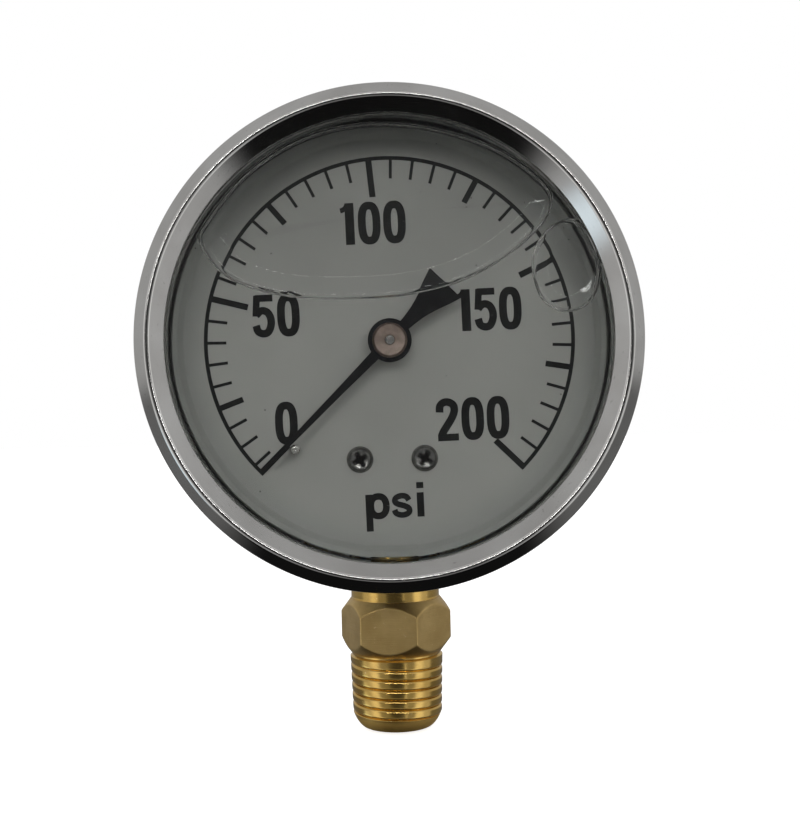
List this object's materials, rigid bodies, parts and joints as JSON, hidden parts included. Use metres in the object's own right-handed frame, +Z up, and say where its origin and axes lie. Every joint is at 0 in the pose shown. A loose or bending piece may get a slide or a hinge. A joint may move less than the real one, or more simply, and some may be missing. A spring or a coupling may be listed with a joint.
{
  "type": "pressure gauge",
  "caption": "Round liquid-filled dial pressure gauge with a rolled steel bezel, clear window, black needle and a bottom brass stem with wrench hexagon and taper pipe thread",
  "frame": {"origin": "centre of the stem's end face, where the pressure port opens, on the stem axis", "axes": "+Z runs up the stem to the round case, the dial faces -Y, +X is to the right as seen from the front"},
  "size_m": [0.0684, 0.0324, 0.0905],
  "materials": {
    "case_steel": "satin stainless",
    "bezel_steel": "polished stainless",
    "window_clear": "clear plastic",
    "black_rubber": "matt",
    "socket_brass": "turned and brushed",
    "movement_brass": "stamped",
    "tube_bronze": "drawn tube",
    "spring_bronze": "fine wire",
    "zinc_screw": "zinc plated",
    "pin_steel": "ground",
    "dial_screw_steel": "dark plated",
    "dial_white": "matt white enamel",
    "pointer_black": "satin black",
    "bush_nickel": "turned"
  },
  "bodies": {
    "case": {"case_shell": "case_steel", "bezel_ring": "bezel_steel", "window": "window_clear", "window_gasket": "black_rubber", "fill_plug": "black_rubber", "stem_socket": "socket_brass", "restrictor_screw": "movement_brass", "stem_seal": "black_rubber", "case_screws": "zinc_screw", "bourdon_tube": "tube_bronze", "hairspring": "spring_bronze", "hairspring_stud": "movement_brass", "movement_rear_plate": "movement_brass", "movement_front_plate": "movement_brass", "movement_pillars": "movement_brass", "movement_screws": "zinc_screw", "plate_screws": "zinc_screw", "dial": "dial_white", "dial_screws": "dial_screw_steel", "stop_pin": "pin_steel"},
    "sector": {"sector_gear": "movement_brass", "sector_arbor": "pin_steel", "tail_pin": "pin_steel"},
    "pointer_arbor": {"pinion_arbor": "pin_steel", "hairspring_collet": "movement_brass", "pointer": "pointer_black", "pointer_bush": "bush_nickel"},
    "link": {"link": "pin_steel"},
    "tube_tip": {"tube_tip": "movement_brass", "tip_pin": "pin_steel"}
  },
  "joints": [
    {"name": "sector_swing", "type": "hinge", "parent": "case", "child": "sector", "pos_m": [0.00474, 0, 0.04608], "axis": [0, 1, 0], "range_deg": [-26.9, 0], "stiffness_Nm_per_rad": 0.01},
    {"name": "pointer_turn", "type": "hinge", "parent": "case", "child": "pointer_arbor", "pos_m": [0, 0, 0.05625], "axis": [0, 1, 0], "range_deg": [0, 269], "deforming": ["hairspring"]},
    {"name": "tip_flex", "type": "hinge", "parent": "case", "child": "tube_tip", "pos_m": [-0.00309, 0, 0.06219], "axis": [0, 1, 0], "range_deg": [-7.12, 0], "deforming": ["bourdon_tube"]},
    {"name": "link_swing", "type": "hinge", "parent": "sector", "child": "link", "pos_m": [0.00848, 0, 0.04139], "axis": [0, 1, 0], "range_deg": [0, 23.71]}
  ],
  "couplings": [
    {"joint": "pointer_turn", "follows": "sector_swing", "ratio": -10},
    {"joint": "tip_flex", "follows": "sector_swing", "ratio": 0.26439},
    {"joint": "link_swing", "follows": "sector_swing", "ratio": -0.88104}
  ]
}
